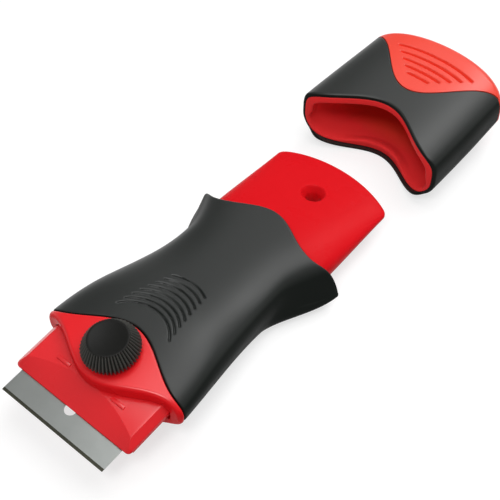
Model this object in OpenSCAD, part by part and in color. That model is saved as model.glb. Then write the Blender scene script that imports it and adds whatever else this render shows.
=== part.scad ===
// Pocket razor scraper: a red moulded handle with a black soft grip, a two-jaw blade head
// clamped by a knurled thumb screw, and a cap that pulls off the tail.
// Millimetres. X runs along the handle from blade to tail, Z is up, and the origin lies in the
// middle of the flat underside of the grip.

/* [Handle] */
// Distance from the origin to the screw axis, towards the blade
screw_x = 40; // [36:0.5:46]
// Distance from the origin to the middle of the tail's end
tail_x = 63.8; // [60:0.1:68]
// Thickness of the red collar beside the jaws
cheek_t = 4; // [3.5:0.1:5]
// Width over the rear horns of the grip
grip_w = 56.5; // [54:0.5:60]
// Width of the grip at its waist
waist_w = 39.5; // [37:0.5:44]
// Distance from the origin to the waist, towards the tail
waist_x = 3.5; // [0:0.5:6]
// How far the waist lies nearer the tail at the top of the grip than at half height
waist_lean = 11.5; // [6:0.5:13]
// Distance from the origin to the rear tongue of the grip
grip_rear_x = 29.5; // [26:0.5:32]
// Width of the tail halfway along
tail_w = 44; // [40:0.5:45]
// Thickness of the soft grip over the red core
grip_t = 1.6; // [1.2:0.1:2.2]
// Width of the groove between the collar and the grip
groove_w = 0.35; // [0.2:0.05:0.8]
// Diameter of the hang hole in the tail
hang_d = 5; // [3.5:0.1:7]
// Distance of the hang hole from the end of the tail
hang_inset = 15.6; // [10:0.1:20]

/* [Heights] */
// Height of the collar's top on the screw axis
collar_z = 22.2; // [21.5:0.1:25]
// Height of the bottom of the thumb dip in the grip
dip_z = 18.8; // [17.5:0.1:20.5]
// Height of the grip at its rear tongue
rear_z = 19.6; // [18.5:0.1:22]
// Thickness of the collar's floor under the blade head
floor_t = 2.2; // [1.2:0.1:3]
// Height of the tail's top where it leaves the grip
tail_root_z = 15.4; // [14.5:0.1:16.5]
// Height of the tail's top at its end
tail_end_z = 11.2; // [10.8:0.1:13]
// Lean of the screw axis and the blade head towards the blade
nose_lean = 6; // [3:0.5:8]

/* [Head] */
// Width of the jaws beside each end of the blade
blade_land = 2.5; // [2:0.05:3]
// Thickness of the upper jaw at its middle
upper_jaw_t = 3.2; // [2.8:0.1:3.6]
// Thickness of the collar's roof over the upper jaw
roof_t = 4; // [3.4:0.1:4.4]
// Length of the blade, along its edge
blade_l = 39; // [37:0.5:41]
// Depth of the blade, from its edge to its back
blade_d = 19; // [18:0.5:20]
// Thickness of the blade
blade_t = 0.25; // [0.2:0.01:0.3]
// How far the blade stands out of the upper jaw
blade_out = 7.6; // [6:0.1:8.5]
// Diameter of the hole in the blade
blade_hole_d = 3.8; // [3:0.1:4.5]
// How far the lower jaw drops when the screw is slack
jaw_drop = 1; // [0.6:0.1:1.4]

/* [Thumb screw] */
// Diameter of the knob at its base
knob_d = 17; // [16:0.1:19]
// Diameter of the knob's top face
knob_top_d = 12.2; // [11.4:0.1:14]
// Height of the straight lower part of the knob
knob_skirt_h = 1.6; // [0.8:0.1:3]
// Height of the knob
knob_h = 5.6; // [5:0.1:7]
// Flutes round the knob
knob_flutes = 48; // [30:1:60]
// Diameter of the screw
screw_d = 5; // [4:0.1:6]
// Width of the nut across its flats
nut_af = 8; // [7.5:0.1:10]
// Thickness of the nut
nut_t = 4; // [3:0.1:4.4]
// Thickness of the washer under the knob
washer_t = 1.1; // [0.6:0.1:1.6]

/* [Cap] */
// Room between the tail and the inside of the cap on each side
cap_room = 2; // [1.6:0.05:2.6]
// Room between the tail's underside and the inside of the cap
cap_under = 1; // [0.8:0.1:1.6]
// How much narrower the cap is at its end
cap_taper = 2; // [1:0.5:4]
// Height of the cap
cap_h = 23.7; // [22.5:0.1:26]
// Length of the cap along its middle, from notch to end
cap_l = 38; // [36:0.5:46]
// Depth of the bell-shaped notch in the cap's mouth
notch_d = 11; // [7:0.5:12]
// Wall of the red cap shell
cap_wall = 1.8; // [1.4:0.1:2.2]
// Thickness of the soft skin on the cap
cap_skin_t = 1.2; // [0.8:0.1:1.6]
// How far the cap is pulled off its seat on the tail
cap_pull = 49; // [44:0.5:60]

/* [Hidden] */
$fn = 64;

// Clearances: running fits, bonded soft parts and sliding flats
run_gap = 0.05;
bond_gap = 0.1;
slide_gap = 0.2;
// How far a cutting shape reaches past what it cuts
cut = 1;

// Points round a lofted section, and rings along each lofted stretch
sides = 56;
collar_rings = 4;
grip_rings = 15;
tail_rings = 7;
skin_rings = 6;
cap_rings = 9;
window_rings = 3;

// A value eased smoothly through a short table of [position, value] rows
function ease(u) = u <= 0 ? 0 : u >= 1 ? 1 : u * u * (3 - 2 * u);
function row(t, x, i = 0) = i >= len(t) - 2 || x < t[i + 1][0] ? i : row(t, x, i + 1);
function eased(t, x) =
    let (i = row(t, x), u = (x - t[i][0]) / (t[i + 1][0] - t[i][0]))
    t[i][1] + (t[i + 1][1] - t[i][1]) * ease(u);

// A bell that is 1 at the middle and 0 from half width b outwards
function bell(y, b) = abs(y) >= b ? 0 : (1 + cos(180 * y / b)) / 2;

// Rounded section: its upper and lower half each have their own squareness
function section(half_w, mid, top, bottom, n_up, n_low, t) =
    let (n = sin(t) >= 0 ? n_up : n_low, k = pow(pow(abs(cos(t)), n) + pow(abs(sin(t)), n), -1 / n))
    [half_w * k * cos(t), mid + (sin(t) >= 0 ? top - mid : mid - bottom) * k * sin(t)];

// Widths that follow from the blade
jaw_w = blade_l + 2 * blade_land;
collar_w = jaw_w + 2 * cheek_t;

// Places in the frame of the blade head: U back along the blade from the screw, W up along the screw
tongue_r = 9.8;
hub_roof_t = 1.4;
hub_t = nut_t + hub_roof_t;
blade_top_w = -roof_t - upper_jaw_t;
blade_under_w = blade_top_w - blade_t - run_gap;
hub_under_w = blade_under_w - hub_t;
pocket_floor_w = hub_under_w - jaw_drop - slide_gap;
module nose() {
    translate([-screw_x, 0, collar_z]) rotate([0, -nose_lean, 0]) children();
}
module along_u(from, to) {
    translate([from, 0, 0]) rotate([90, 0, 90]) linear_extrude(to - from) children();
}
module across_v(w) {
    rotate([90, 0, 0]) linear_extrude(w, center = true) children();
}

// Shape of the collar and grip along X, with the height and squareness of the widest part
wide_run = 6;
crest_run = 13;
shoulder_run = 20;
chin_run = 34;
collar_wide_x = -screw_x - wide_run;
collar_front_x = -screw_x - tongue_r;
crest_x = -screw_x + crest_run;
shoulder_x = -screw_x + shoulder_run;
chin_end_x = -screw_x + chin_run;
chin_z = collar_z + pocket_floor_w * cos(nose_lean) - tongue_r * sin(nose_lean) - floor_t;
belly = 0.7;
collar_mid_z = 13.4;
waist_mid_z = 8.2;
rear_mid_z = 6.2;
n_collar = 3.2;
n_waist = 3.6;
n_rear = 5;
n_chin = 2;
n_under = 2.4;
function n_low(x) = eased([[collar_wide_x, n_chin], [waist_x, n_under]], x);
function n_top(x) = eased([[shoulder_x, n_collar], [waist_x, n_waist], [grip_rear_x, n_rear]], x);
function nose_line(x) = collar_z + (x + screw_x) * tan(nose_lean);
function out_half_w(x) =
    eased([[collar_wide_x, collar_w / 2], [waist_x, waist_w / 2], [grip_rear_x, grip_w / 2]], x);
function out_mid(x) = eased([[-screw_x, collar_mid_z], [waist_x, waist_mid_z], [grip_rear_x, rear_mid_z]], x);
function out_top(x) = x < crest_x ? nose_line(x)
    : eased([[crest_x, nose_line(crest_x)], [waist_x, dip_z], [grip_rear_x, rear_z]], x);
function out_bottom(x) = eased([[collar_front_x, chin_z], [chin_end_x, -belly], [grip_rear_x, -belly]], x);
function outside(x, t, inset = 0) =
    let (p = section(out_half_w(x - waist_lean * sin(t)) - inset, out_mid(x), out_top(x) - inset,
                     out_bottom(x) + inset, n_top(x), n_low(x), t))
    [x, p[0], p[1]];

// Shape of the red core under the grip and of the bare tail
tail_cover = 8;
tail_root_x = grip_rear_x - tail_cover;
tail_under_z = cap_skin_t + cap_wall + cap_under;
tail_lift = 2.2;
tail_root_mid_z = 8;
tail_end_mid_z = 9;
tail_taper = 0.4;
n_core = 2.8;
n_tail_root = 3;
n_tail_end = 3;
n_tail_under = 2.4;
function n_tail(x) = eased([[waist_x, n_core], [tail_root_x, n_tail_root], [tail_x, n_tail_end]], x);
hang_x = tail_x - hang_inset;
core_waist_z = grip_t - belly;
function core_half_w(x) = x < waist_x ? out_half_w(x) - grip_t
    : eased([[waist_x, waist_w / 2 - grip_t], [tail_root_x, tail_w / 2 + tail_taper],
             [tail_x, tail_w / 2 - tail_taper]], x);
function core_mid(x) = eased([[-screw_x, collar_mid_z], [waist_x, waist_mid_z],
                              [tail_root_x, tail_root_mid_z], [tail_x, tail_end_mid_z]], x);
function core_top(x) = x < waist_x ? out_top(x) - grip_t
    : eased([[waist_x, dip_z - grip_t], [tail_root_x, tail_root_z], [tail_x, tail_end_z]], x);
function core_bottom(x) = x < chin_end_x ? out_bottom(x) + grip_t
    : eased([[chin_end_x, core_waist_z], [waist_x, core_waist_z], [tail_root_x, tail_under_z],
             [tail_x, tail_under_z + tail_lift]], x);
function core(x, t, inset = 0) =
    let (p = section(core_half_w(x - waist_lean * sin(t)) - inset, core_mid(x), core_top(x) - inset,
                     core_bottom(x) + inset, n_tail(x), n_tail_under, t))
    [x, p[0], p[1]];

// Edge curves: each gives X for a place across the handle
bell_side = 1.75;
bell_half = collar_w / 2 - bell_side;
tongue_len = 8.6;
band_side = 3;
band_len = 8.9;
valley_y = grip_w / 3;
valley_d = 6.5;
horn_d = 3;
tail_r = 46;
corner_x = collar_front_x + tongue_len;
function collar_front(y) = corner_x - tongue_len * bell(y, bell_half);
function band_rear(y) = corner_x + band_side + band_len * bell(y, bell_half);
function grip_front(y) = band_rear(y) + groove_w;
function grip_rear(y) = grip_rear_x - valley_d + valley_d * bell(y, valley_y)
    + horn_d * ease((abs(y) - valley_y) / (grip_w / 2 - valley_y));
function tail_end(y) = tail_x - tail_r + sqrt(tail_r * tail_r - y * y);

// A ring where a form meets an edge curve, and a ring part of the way between two edge curves
function meet(form, edge, t) =
    let (a = form(edge(0), t), b = form(edge(a[1]), t), c = form(edge(b[1]), t))
    form(edge(c[1]), t);
function angles() = [for (j = [0 : sides - 1]) 360 * (j + 0.5) / sides];
function edge_ring(form, edge) = [for (t = angles()) meet(form, edge, t)];
function between_ring(form, from, to, u) =
    [for (t = angles()) let (a = meet(form, from, t)[0], b = meet(form, to, t)[0]) form(a + (b - a) * u, t)];
function between_rings(form, from, to, count, first = 0) =
    [for (i = [first : count]) between_ring(form, from, to, i / count)];

// Rounded lip: insets and advances of a quarter round in a few steps
function lip(r, steps) = [for (i = [0 : steps]) let (a = 90 * i / steps) [r * (1 - cos(a)), r * sin(a)]];

// Joins rings of equal count into a closed solid, capped at both ends or looped into a sleeve.
// From the ring named turn onwards the faces are split along their other diagonal
module loft(rings, looped = false, turn = 1000) {
    n = len(rings[0]);
    last = len(rings) - 1;
    walls = [for (i = [0 : looped ? last : last - 1], j = [0 : n - 1])
        let (k = (i + 1) % len(rings), m = (j + 1) % n,
             a = i * n + j, b = i * n + m, c = k * n + m, d = k * n + j)
        each i < turn ? [[a, c, b], [a, d, c]] : [[a, d, b], [b, d, c]]];
    half = n / 2;
    near = looped ? []
        : [for (j = [0 : half - 2]) each [[j, j + 1, n - 1 - j], [j + 1, n - 2 - j, n - 1 - j]]];
    far = looped ? [] : [for (f = near) [for (v = [2, 1, 0]) last * n + f[v]]];
    polyhedron(points = [for (r = rings) each r], faces = concat(walls, near, far), convexity = 6);
}

// Takes away all that lies under the floor plane
module floor_cut() {
    reach = 4 * (screw_x + tail_x + cap_pull + cap_l);
    translate([-reach / 2, -reach / 2, -reach]) cube(reach);
}

// Cut that follows an arc across the handle, bulging towards the tail, sunk to its own radius
module arc_groove(mid_x, half_len, arc_r, r, z, slope = 0) {
    half = asin(half_len / arc_r);
    translate([mid_x, 0, z]) rotate([0, -atan(slope), 0]) translate([-arc_r, 0, 0]) rotate([0, 0, -half])
        rotate_extrude(angle = 2 * half) translate([arc_r, 0]) circle(r = r, $fn = 24);
}

// Blade head: upper jaw, lower jaw with its hub, and where the blade lies between them
jaw_reach = 8;
jaw_front_u = -(tongue_r + jaw_reach);
jaw_back_u = 9.5;
pocket_front_u = 2 * jaw_front_u;
blade_edge_u = jaw_front_u - blade_out;
blade_back_u = blade_edge_u + blade_d;
plate_t = 1.6;
jaw_side_t = 0.7;
jaw_draft = 2;
hub_step = 6.75;
hub_half_w = jaw_w / 2 - hub_step;
hub_front_u = -6;

// Red core: collar, hidden spine and tail in one moulding, with the pocket for the jaws
lip_r = 1;
lip_steps = 2;
tail_lip_r = 1.6;
tail_lip_steps = 3;
hang_dish = 0.8;
hang_flare = 2;
module handle_core() {
    on_outside = function (x, t) outside(x, t);
    on_core = function (x, t) core(x, t);
    front = function (y) collar_front(y) + lip_r;
    band = function (y) band_rear(y);
    rear = function (y) grip_rear(y);
    end = function (y) tail_end(y) - tail_lip_r;
    front_lip = [for (s = [lip_steps : -1 : 0]) let (q = lip(lip_r, lip_steps)[s])
        edge_ring(function (x, t) outside(x, t, q[0]), function (y) front(y) - q[1])];
    end_lip = [for (s = [1 : tail_lip_steps]) let (q = lip(tail_lip_r, tail_lip_steps)[s])
        edge_ring(function (x, t) core(x, t, q[0]), function (y) end(y) + q[1])];
    collar = between_rings(on_outside, front, band, collar_rings, first = 1);
    spine = between_rings(on_core, band, rear, grip_rings);
    tail = between_rings(on_core, rear, end, tail_rings, first = 1);
    color([0.86, 0.12, 0.14]) difference() {
        loft(concat(front_lip, collar, spine, tail, end_lip));
        nose() {
            half = jaw_w / 2 + slide_gap;
            slot_floor_w = blade_under_w - plate_t - jaw_drop - slide_gap;
            shoulder_w = blade_top_w + jaw_side_t + slide_gap;
            along_u(pocket_front_u, jaw_back_u)
                polygon([[-half, slot_floor_w], [half, slot_floor_w], [half, shoulder_w],
                         [half - jaw_draft, -roof_t], [-half + jaw_draft, -roof_t], [-half, shoulder_w]]);
            hub_slot_w = 2 * (hub_half_w + slide_gap);
            translate([pocket_front_u, -hub_slot_w / 2, pocket_floor_w])
                cube([jaw_back_u - pocket_front_u, hub_slot_w, blade_under_w - pocket_floor_w]);
            translate([0, 0, -roof_t - cut]) cylinder(d = screw_d + 2 * run_gap, h = roof_t + 2 * cut);
        }
        translate([hang_x, 0, -cut]) cylinder(d = hang_d, h = collar_z + 2 * cut);
        translate([hang_x, 0, core_top(hang_x) - hang_dish])
            cylinder(d1 = hang_d, d2 = hang_d + 2 * hang_dish * hang_flare, h = 2 * hang_dish);
    }
}

// Soft grip moulded round the core, with a flat underside and thumb grooves over the thumb dip
edge_round = 0.5;
thumb_grooves = 8;
thumb_first_x = -screw_x + 12;
thumb_step = 2.65;
thumb_first_y = 9.9;
thumb_last_y = 6.2;
thumb_arc_r = 12;
thumb_groove_r = 0.6;
function slope_of(x) = (out_top(x + cut) - out_top(x - cut)) / (2 * cut);
module grip_sleeve() {
    front = function (y) grip_front(y);
    rear = function (y) grip_rear(y);
    on_outside = function (x, t) outside(x, t);
    on_core = function (x, t) core(x, t, -bond_gap);
    rounded = function (x, t) outside(x, t, edge_round);
    outer = between_rings(on_outside, function (y) grip_front(y) + edge_round,
        function (y) grip_rear(y) - edge_round, grip_rings);
    inner = [for (i = [grip_rings : -1 : 1])
        between_ring(on_core, function (y) band_rear(y), rear, i / grip_rings)];
    color([0.2, 0.21, 0.21]) difference() {
        loft(concat([edge_ring(rounded, front)], outer, [edge_ring(rounded, rear)], inner,
                    [edge_ring(on_core, front)]), looped = true, turn = len(outer) + 2);
        floor_cut();
        for (i = [0 : thumb_grooves - 1]) {
            half_len = thumb_first_y + (thumb_last_y - thumb_first_y) * i / (thumb_grooves - 1);
            sagitta = thumb_arc_r - sqrt(thumb_arc_r * thumb_arc_r - half_len * half_len);
            mid_x = thumb_first_x + thumb_step * i + sagitta;
            arc_groove(mid_x, half_len, thumb_arc_r, thumb_groove_r, out_top(mid_x), slope_of(mid_x));
        }
    }
}

// Upper jaw: crowned wedge with a curved front bevel, drafted sides and two detent ridges for the cap
jaw_nose_t = 0.5;
jaw_crown = 0.4;
bevel_mid = 8;
bevel_side = 3.4;
bevel_corner = 0.4;
ridge_l = 5;
ridge_r = 0.6;
ridge_sink = 0.2;
ridge_y = jaw_w / 4 - ridge_r;
ridge_u = -9.4;
jaw_spans = 14;
function jaw_top(v) = upper_jaw_t - run_gap - jaw_crown * pow(v / (jaw_w / 2), 2);
function jaw_profile(v, t, run) =
    let (back = jaw_back_u - slide_gap, front = jaw_front_u)
    [for (q = [[front, 0], [back, 0], [back, t], [front + run, t], [front, jaw_nose_t]]) [q[0], v, q[1]]];
module upper_jaw() {
    half = jaw_w / 2;
    flat = half - jaw_draft;
    bevel = function (v) bevel_mid + (bevel_side - bevel_mid) * pow(v / flat, 2);
    middle = [for (i = [0 : jaw_spans]) let (v = flat * (2 * i / jaw_spans - 1))
        jaw_profile(v, jaw_top(v), bevel(v))];
    rings = concat([jaw_profile(-half, jaw_side_t, bevel_corner)], middle,
        [jaw_profile(half, jaw_side_t, bevel_corner)]);
    n = len(rings[0]);
    last = len(rings) - 1;
    walls = [for (i = [0 : last - 1], j = [0 : n - 1])
        let (m = (j + 1) % n, a = i * n + j, b = i * n + m, c = (i + 1) * n + m, d = (i + 1) * n + j)
        each [[a, b, c], [a, c, d]]];
    lids = [[for (j = [n - 1 : -1 : 0]) j], [for (j = [0 : n - 1]) last * n + j]];
    color([0.9, 0.13, 0.16]) nose() translate([0, 0, blade_top_w]) difference() {
        union() {
            polyhedron(points = [for (r = rings) each r], faces = concat(walls, lids));
            for (s = [-1, 1]) translate([ridge_u, s * ridge_y, jaw_top(ridge_y) - ridge_sink])
                rotate([90, 0, 0]) cylinder(r = ridge_r, h = ridge_l, center = true);
        }
        translate([0, 0, -cut]) cylinder(d = screw_d + 2 * slide_gap, h = upper_jaw_t + 2 * cut);
    }
}

// Lower jaw: blade seat between two side lands, a wedge underneath and the hub that holds the nut
lower_back = 1.5;
lower_front_u = jaw_front_u + lower_back;
lower_edge_t = 0.6;
lower_side_bevel = 1.2;
lower_front_bevel = 4;
module lower_jaw() {
    seat_w = blade_l + 2 * slide_gap;
    half = jaw_w / 2;
    t = plate_t + blade_t;
    color([0.84, 0.11, 0.13]) nose() difference() {
        union() {
            translate([0, 0, blade_top_w - run_gap]) mirror([0, 0, 1]) intersection() {
                along_u(lower_front_u, jaw_back_u - slide_gap)
                    polygon([[-half, 0], [half, 0], [half, lower_edge_t], [half - lower_side_bevel, t],
                             [-half + lower_side_bevel, t], [-half, lower_edge_t]]);
                across_v(jaw_w)
                    polygon([[lower_front_u, 0], [lower_front_u, lower_edge_t],
                             [lower_front_u + lower_front_bevel, t], [jaw_back_u, t], [jaw_back_u, 0]]);
            }
            translate([hub_front_u, -hub_half_w, hub_under_w])
                cube([jaw_back_u - slide_gap - hub_front_u, 2 * hub_half_w, hub_t]);
        }
        translate([lower_front_u - cut, -seat_w / 2, blade_under_w])
            cube([blade_back_u + slide_gap - lower_front_u + cut, seat_w, blade_t + cut]);
        translate([0, 0, hub_under_w - cut]) cylinder(d = screw_d + 2 * slide_gap, h = hub_t + 2 * cut);
        translate([0, 0, hub_under_w - cut])
            cylinder(d = (nut_af + 2 * run_gap) / cos(30), h = nut_t + cut, $fn = 6);
    }
}

// Steel blade with a ground cutting edge and one round hole
grind = 0.9;
edge_t = 0.04;
module blade() {
    mid = blade_t / 2;
    ground_u = blade_edge_u + grind;
    color([0.62, 0.65, 0.64]) nose() translate([0, 0, blade_under_w]) difference() {
        across_v(blade_l)
            polygon([[blade_edge_u, mid - edge_t / 2], [blade_edge_u, mid + edge_t / 2], [ground_u, blade_t],
                     [blade_back_u, blade_t], [blade_back_u, 0], [ground_u, 0]]);
        translate([jaw_front_u, 0, -cut]) cylinder(d = blade_hole_d, h = blade_t + 2 * cut);
    }
}

// Hexagon nut held in the lower jaw's hub
module clamp_nut() {
    color([0.7, 0.7, 0.68]) nose() translate([0, 0, hub_under_w]) difference() {
        cylinder(d = nut_af / cos(30), h = nut_t, $fn = 6);
        translate([0, 0, -cut]) cylinder(d = screw_d + 2 * run_gap, h = nut_t + 2 * cut);
    }
}

// Knob: flutes run up a short straight skirt and a cone, with a shallow dish in the top
skirt_step = 0.1;
dish_d = 0.5;
dish_margin = 0.9;
flute_d = 0.55;
head_d = 9;
head_h = 2.2;
washer_margin = 2;
washer_d = knob_d - 2 * washer_margin;
washer_w = bond_gap;
knob_w = washer_w + washer_t;
module fluted(r) {
    polygon([for (i = [0 : 2 * knob_flutes - 1]) let (a = 180 * i / knob_flutes)
        (r - (i % 2) * flute_d) * [cos(a), sin(a)]]);
}
module knob() {
    dish_rim = knob_top_d / 2 - dish_margin;
    dish_r = (dish_rim * dish_rim + dish_d * dish_d) / (2 * dish_d);
    color([0.14, 0.14, 0.14]) nose() translate([0, 0, knob_w]) difference() {
        union() {
            linear_extrude(knob_skirt_h) fluted(knob_d / 2);
            translate([0, 0, knob_skirt_h])
                linear_extrude(knob_h - knob_skirt_h, scale = knob_top_d / knob_d)
                    fluted(knob_d / 2 - skirt_step);
        }
        translate([0, 0, knob_h - dish_d + dish_r]) sphere(r = dish_r, $fn = 96);
        translate([0, 0, -cut]) cylinder(d = head_d, h = head_h + cut);
    }
}

// Steel thumb screw, its head moulded into the knob
screw_out = 0.2;
module clamp_screw() {
    tip_w = hub_under_w - screw_out;
    color([0.7, 0.7, 0.68]) nose() {
        translate([0, 0, knob_w]) cylinder(d = head_d, h = head_h);
        translate([0, 0, tip_w]) cylinder(d = screw_d, h = knob_w - tip_w);
    }
}

// Plain washer between the knob and the collar
module knob_washer() {
    color([0.72, 0.72, 0.7]) nose() translate([0, 0, washer_w]) difference() {
        cylinder(d = washer_d, h = washer_t);
        translate([0, 0, -cut]) cylinder(d = screw_d + 2 * run_gap, h = washer_t + 2 * cut);
    }
}

// Cap: its outside, mouth and end, and the window where the red shell shows through the skin
seat_gap = 1;
mouth_x = grip_rear_x - valley_d + horn_d + seat_gap + cap_pull;
cap_end_x = mouth_x + notch_d + cap_l;
cap_w = tail_w + 2 * (cap_room + cap_wall + cap_skin_t);
cap_mid_z = 12.5;
cap_r = 50;
cap_belly = 0.4;
cap_rise = 5;
cap_flat = 22;
n_cap_top = 4.2;
n_cap_under = 2.3;
n_hollow_under = 2.8;
window_side = 9;
window_d = 19.2;
notch_side = 2.5;
window_edge = 0.5;
notch_half = cap_w / 2 - notch_side;
window_half = cap_w / 2 - window_edge;
function cap_half_w(x) = eased([[mouth_x, cap_w / 2], [cap_end_x, (cap_w - cap_taper) / 2]], x);
function cap_bottom(x) = eased([[mouth_x + cap_flat, -cap_belly], [cap_end_x, cap_rise]], x);
function cap_form(x, t, inset = 0, n_low = n_cap_under) =
    let (p = section(cap_half_w(x) - inset, cap_mid_z, cap_h - inset, cap_bottom(x) + inset,
                     n_cap_top, n_low, t))
    [x, p[0], p[1]];
function mouth(y) = mouth_x + notch_d * bell(y, notch_half);
function cap_end(y) = cap_end_x - cap_r + sqrt(cap_r * cap_r - y * y);
function window(y) = cap_end_x - window_side - window_d * bell(y, window_half);

// Red cap shell: thin under the skin, full in the window, with finger grooves on top
cap_lip_r = 3;
cap_lip_steps = 3;
cap_end_wall = 3;
cap_grooves = 5;
cap_groove_end = 11.1;
cap_groove_step = 2.6;
cap_groove_long = 14.6;
cap_groove_short = 3.8;
cap_groove_r = 0.7;
module cap_shell() {
    on_hollow = function (x, t) cap_form(x, t, cap_skin_t + cap_wall, n_hollow_under);
    under_skin = function (x, t) cap_form(x, t, cap_skin_t + bond_gap);
    on_outside = function (x, t) cap_form(x, t);
    rim = function (y) mouth(y);
    edge = function (y) window(y);
    end = function (y) cap_end(y) - cap_lip_r;
    end_lip = [for (s = [1 : cap_lip_steps]) let (q = lip(cap_lip_r, cap_lip_steps)[s])
        edge_ring(function (x, t) cap_form(x, t, q[0]), function (y) end(y) + q[1])];
    inner = [for (i = [cap_rings : -1 : 0])
        between_ring(on_hollow, rim, function (y) cap_end(y) - cap_end_wall, i / cap_rings)];
    covered = between_rings(under_skin, rim, edge, skin_rings);
    bare = between_rings(on_outside, edge, end, window_rings);
    color([0.9, 0.16, 0.15]) difference() {
        loft(concat(inner, covered, bare, end_lip));
        floor_cut();
        for (i = [0 : cap_grooves - 1]) {
            half_len = cap_groove_long + (cap_groove_short - cap_groove_long) * i / (cap_grooves - 1);
            sagitta = cap_r - sqrt(cap_r * cap_r - half_len * half_len);
            mid_x = cap_end_x - cap_groove_end - cap_groove_step * i + sagitta;
            arc_groove(mid_x, half_len, cap_r, cap_groove_r, cap_h);
        }
    }
}

// Soft skin round the mouth end of the cap
skin_back = 0.6;
skin_gap = 0.15;
module cap_skin() {
    on_outside = function (x, t) cap_form(x, t);
    on_shell = function (x, t) cap_form(x, t, cap_skin_t);
    from = function (y) mouth(y) + skin_back;
    to = function (y) window(y) - skin_gap;
    inner = [for (i = [skin_rings : -1 : 0]) between_ring(on_shell, from, to, i / skin_rings)];
    color([0.22, 0.23, 0.22]) difference() {
        loft(concat(between_rings(on_outside, from, to, skin_rings), inner), looped = true);
        floor_cut();
    }
}

handle_core();
grip_sleeve();
upper_jaw();
lower_jaw();
blade();
clamp_nut();
knob();
clamp_screw();
knob_washer();
cap_shell();
cap_skin();
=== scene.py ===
"""Pocket razor scraper with its cap pulled off, dressed for a studio picture.

The sections follow the tool as it is put together. Their sizes are in millimetres, and each mesh is
brought to metres when it is made.
"""
import math

import bmesh
import bpy
import numpy as np
from mathutils import Matrix, Vector


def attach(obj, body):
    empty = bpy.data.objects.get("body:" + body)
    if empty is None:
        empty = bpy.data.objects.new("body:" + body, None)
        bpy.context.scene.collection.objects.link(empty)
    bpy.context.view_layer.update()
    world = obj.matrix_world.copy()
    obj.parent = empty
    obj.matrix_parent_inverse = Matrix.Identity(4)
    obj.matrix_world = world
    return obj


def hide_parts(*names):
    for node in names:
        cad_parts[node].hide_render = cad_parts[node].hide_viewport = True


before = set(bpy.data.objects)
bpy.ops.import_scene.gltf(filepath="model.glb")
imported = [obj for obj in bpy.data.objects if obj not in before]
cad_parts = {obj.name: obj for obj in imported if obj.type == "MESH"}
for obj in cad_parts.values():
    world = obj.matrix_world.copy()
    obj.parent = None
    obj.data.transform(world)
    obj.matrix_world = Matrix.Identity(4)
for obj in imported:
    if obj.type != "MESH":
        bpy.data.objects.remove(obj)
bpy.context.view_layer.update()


# Studio: a white table under one large soft box that hangs over the tool, a small one farther back for the
# top of the cap and a weak one in front for the cap's mouth. The camera looks down on the tool from
# beyond its blade, off to one side.
MM = 0.001
scene = bpy.context.scene
scene.view_settings.view_transform = "Standard"


def add_node(tree, kind, inputs=None, **settings):
    """A new node; inputs maps a socket's name or number to a value or to another node's output."""
    made = tree.nodes.new(kind)
    for name, value in settings.items():
        setattr(made, name, value)
    for key, value in (inputs or {}).items():
        if isinstance(value, bpy.types.NodeSocket):
            tree.links.new(value, made.inputs[key])
        else:
            made.inputs[key].default_value = value
    return made


def calc(tree, operation, *values):
    """The output of a Math node."""
    return add_node(tree, "ShaderNodeMath", dict(enumerate(values)), operation=operation).outputs[0]


def paint(red, green, blue):
    """A colour given as a screen shows it, from 0 to 255, in the renderer's own linear values."""
    parts = [c / 255 for c in (red, green, blue)]
    return tuple(c / 12.92 if c <= 0.04045 else ((c + 0.055) / 1.055) ** 2.4 for c in parts) + (1.0,)


camera_place = Vector((-143.2, -137.6, 266.9)) * MM
camera_target = Vector((17.0, -0.34, 13.0)) * MM
camera = bpy.data.objects.new("camera", bpy.data.cameras.new("camera"))
scene.collection.objects.link(camera)
scene.camera = camera
camera.location = camera_place
camera.rotation_euler = (camera_target - camera_place).to_track_quat("-Z", "Y").to_euler()
camera.data.sensor_width = 36
camera.data.lens = 78.5
camera.data.clip_start = 0.01

table_half = 8.0
table_grey = 0.38
table_light = 0.68
table_mesh = bpy.data.meshes.new("table")
table_corners = [(sx * table_half, sy * table_half, 0.0) for sx, sy in ((-1, -1), (1, -1), (1, 1), (-1, 1))]
table_mesh.from_pydata(table_corners, [], [(0, 1, 2, 3)])
table = bpy.data.objects.new("table", table_mesh)
scene.collection.objects.link(table)
table_white = bpy.data.materials.new("table_white")
table_white.use_nodes = True
table_tree = table_white.node_tree
table_shader = table_tree.nodes["Principled BSDF"]
table_shader.inputs["Base Color"].default_value = (table_grey, table_grey, table_grey, 1.0)
table_shader.inputs["Roughness"].default_value = 0.9
table_shader.inputs["Specular IOR Level"].default_value = 0.0
table_shader.inputs["Emission Color"].default_value = (1.0, 1.0, 1.0, 1.0)
table_rays = add_node(table_tree, "ShaderNodeLightPath")
seen_or_mirrored = calc(table_tree, "MAXIMUM", table_rays.outputs["Is Camera Ray"],
                        table_rays.outputs["Is Glossy Ray"])
seen_at_all = calc(table_tree, "MAXIMUM", seen_or_mirrored, table_rays.outputs["Is Transmission Ray"])
table_glow = calc(table_tree, "MULTIPLY", seen_at_all, table_light)
table_tree.links.new(table_glow, table_shader.inputs["Emission Strength"])
table_mesh.materials.append(table_white)

studio_air = bpy.data.worlds.new("studio_air")
scene.world = studio_air
studio_air.use_nodes = True
air_tree = studio_air.node_tree
air_tree.nodes.clear()
air_way = add_node(air_tree, "ShaderNodeSeparateXYZ",
                   {0: add_node(air_tree, "ShaderNodeTexCoord").outputs["Generated"]})
air_level = add_node(air_tree, "ShaderNodeMapRange",
                     {"Value": air_way.outputs["Z"], "From Min": 0.05, "From Max": 0.35,
                      "To Min": 0.6, "To Max": 0.25})
air_light = add_node(air_tree, "ShaderNodeBackground",
                     {"Color": (1.0, 1.0, 1.0, 1.0), "Strength": air_level.outputs["Result"]})
add_node(air_tree, "ShaderNodeOutputWorld", {"Surface": air_light.outputs[0]})


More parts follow.
